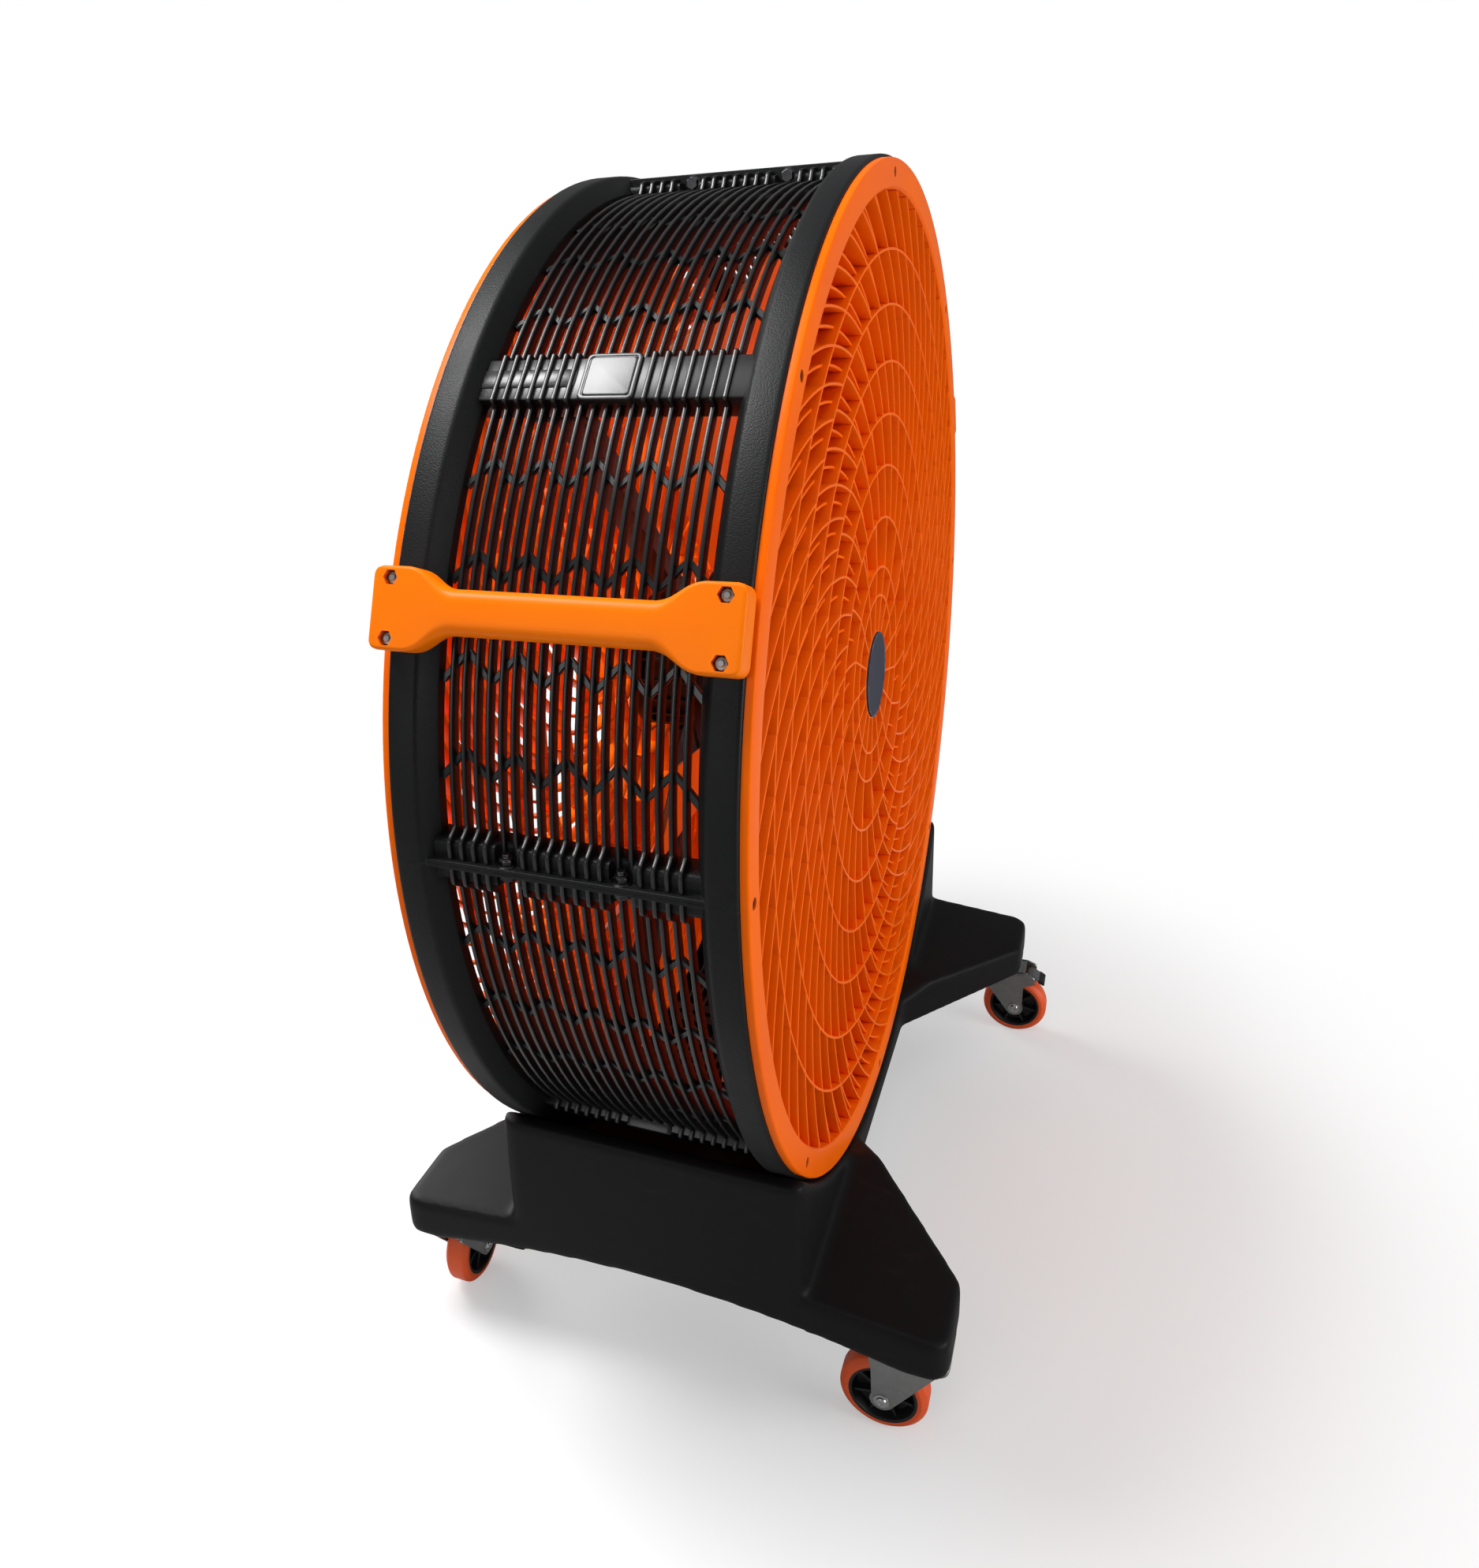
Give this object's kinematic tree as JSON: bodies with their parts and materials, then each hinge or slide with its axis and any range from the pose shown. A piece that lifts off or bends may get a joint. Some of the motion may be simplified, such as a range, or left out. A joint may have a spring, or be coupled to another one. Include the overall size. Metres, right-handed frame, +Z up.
{
  "type": "drum fan",
  "caption": "Large wheeled drum fan: ribbed black drum with orange swirl grilles and grip handles on a moulded cradle base with swivel casters.",
  "frame": {"origin": "on the floor below the middle of the drum", "axes": "+Z up, the fan axis along Y with the outlet grille facing -Y, +X to the right seen from the front"},
  "size_m": [1.208, 0.754, 1.367],
  "materials": {
    "base_plastic": "fine leather grain, satin black",
    "drum_plastic": "fine leather grain, satin black",
    "grille_orange": "satin moulded orange",
    "handle_orange": "gloss moulded orange",
    "impeller_orange": "satin moulded orange",
    "badge": "bare dark slate disc",
    "tread_orange": "satin polyurethane",
    "core_black": "moulded nylon",
    "caster_zinc": "bright zinc plate, slightly dulled",
    "pedal_zinc": "zinc plate with black pad",
    "motor_paint": "satin black paint",
    "strut_paint": "satin black powder coat",
    "fitting_plastic": "moulded black",
    "rotor_steel": "laminated steel",
    "shaft_steel": "turned steel",
    "fastener_steel": "zinc plated"
  },
  "bodies": {
    "frame": {"base": "base_plastic", "drum_sector_top_right": "drum_plastic", "drum_sector_top_left": "drum_plastic", "drum_sector_bottom_left": "drum_plastic", "drum_sector_bottom_right": "drum_plastic", "front_grille": "grille_orange", "rear_grille": "grille_orange", "front_grille_screws": "fastener_steel", "rear_grille_screws": "fastener_steel", "hub_badge": "badge", "flange_bolts": "fastener_steel", "flange_nuts": "fastener_steel", "handle_right": "handle_orange", "handle_left": "handle_orange", "handle_bolts": "fastener_steel", "cradle_bolts": "fastener_steel", "caster_bolts": "fastener_steel", "caster_plate_front_left": "caster_zinc", "caster_plate_front_right": "caster_zinc", "caster_plate_rear_left": "caster_zinc", "caster_plate_rear_right": "caster_zinc", "motor_mount": "strut_paint", "motor_struts": "strut_paint", "strut_bolts": "fastener_steel", "motor_housing": "motor_paint", "motor_front_bell": "motor_paint", "motor_rear_bell": "motor_paint", "front_bearing": "shaft_steel", "rear_bearing": "shaft_steel", "motor_bolts": "fastener_steel", "terminal_box": "fitting_plastic", "cable_gland": "fitting_plastic"},
    "impeller_assembly": {"impeller": "impeller_orange", "motor_shaft": "shaft_steel", "hub_nut": "shaft_steel", "motor_rotor": "rotor_steel"},
    "fork_front_left": {"caster_fork_front_left": "caster_zinc", "caster_axle_front_left": "fastener_steel"},
    "wheel_front_left": {"caster_core_front_left": "core_black", "caster_tread_front_left": "tread_orange"},
    "fork_front_right": {"caster_fork_front_right": "caster_zinc", "caster_axle_front_right": "fastener_steel"},
    "wheel_front_right": {"caster_core_front_right": "core_black", "caster_tread_front_right": "tread_orange"},
    "fork_rear_left": {"caster_fork_rear_left": "caster_zinc", "caster_axle_rear_left": "fastener_steel"},
    "wheel_rear_left": {"caster_core_rear_left": "core_black", "caster_tread_rear_left": "tread_orange"},
    "fork_rear_right": {"caster_fork_rear_right": "caster_zinc", "caster_axle_rear_right": "fastener_steel"},
    "wheel_rear_right": {"caster_core_rear_right": "core_black", "caster_tread_rear_right": "tread_orange"},
    "pedal_front_right": {"brake_pedal_front_right": "pedal_zinc"},
    "pedal_rear_right": {"brake_pedal_rear_right": "pedal_zinc"}
  },
  "joints": [
    {"name": "impeller_spin", "type": "hinge", "parent": "frame", "child": "impeller_assembly", "pos_m": [0, -0.048, 0.763], "axis": [0, 1, 0], "continuous": true},
    {"name": "swivel_front_left", "type": "hinge", "parent": "frame", "child": "fork_front_left", "pos_m": [-0.402, -0.294, 0.11], "axis": [0, 0, 1], "continuous": true},
    {"name": "roll_front_left", "type": "hinge", "parent": "fork_front_left", "child": "wheel_front_left", "pos_m": [-0.402, -0.261, 0.05], "axis": [1, 0, 0], "continuous": true},
    {"name": "swivel_front_right", "type": "hinge", "parent": "frame", "child": "fork_front_right", "pos_m": [0.402, -0.294, 0.11], "axis": [0, 0, 1], "continuous": true},
    {"name": "roll_front_right", "type": "hinge", "parent": "fork_front_right", "child": "wheel_front_right", "pos_m": [0.402, -0.327, 0.05], "axis": [-1, 0, 0], "continuous": true},
    {"name": "swivel_rear_left", "type": "hinge", "parent": "frame", "child": "fork_rear_left", "pos_m": [-0.402, 0.294, 0.11], "axis": [0, 0, 1], "continuous": true},
    {"name": "roll_rear_left", "type": "hinge", "parent": "fork_rear_left", "child": "wheel_rear_left", "pos_m": [-0.369, 0.294, 0.05], "axis": [0, -1, 0], "continuous": true},
    {"name": "swivel_rear_right", "type": "hinge", "parent": "frame", "child": "fork_rear_right", "pos_m": [0.402, 0.294, 0.11], "axis": [0, 0, 1], "continuous": true},
    {"name": "roll_rear_right", "type": "hinge", "parent": "fork_rear_right", "child": "wheel_rear_right", "pos_m": [0.402, 0.327, 0.05], "axis": [1, 0, 0], "continuous": true},
    {"name": "brake_front_right", "type": "hinge", "parent": "fork_front_right", "child": "pedal_front_right", "pos_m": [0.402, -0.3498, 0.1057], "axis": [1, 0, 0], "range_deg": [0, 12]},
    {"name": "brake_rear_right", "type": "hinge", "parent": "fork_rear_right", "child": "pedal_rear_right", "pos_m": [0.402, 0.3498, 0.1057], "axis": [-1, 0, 0], "range_deg": [0, 12]}
  ]
}
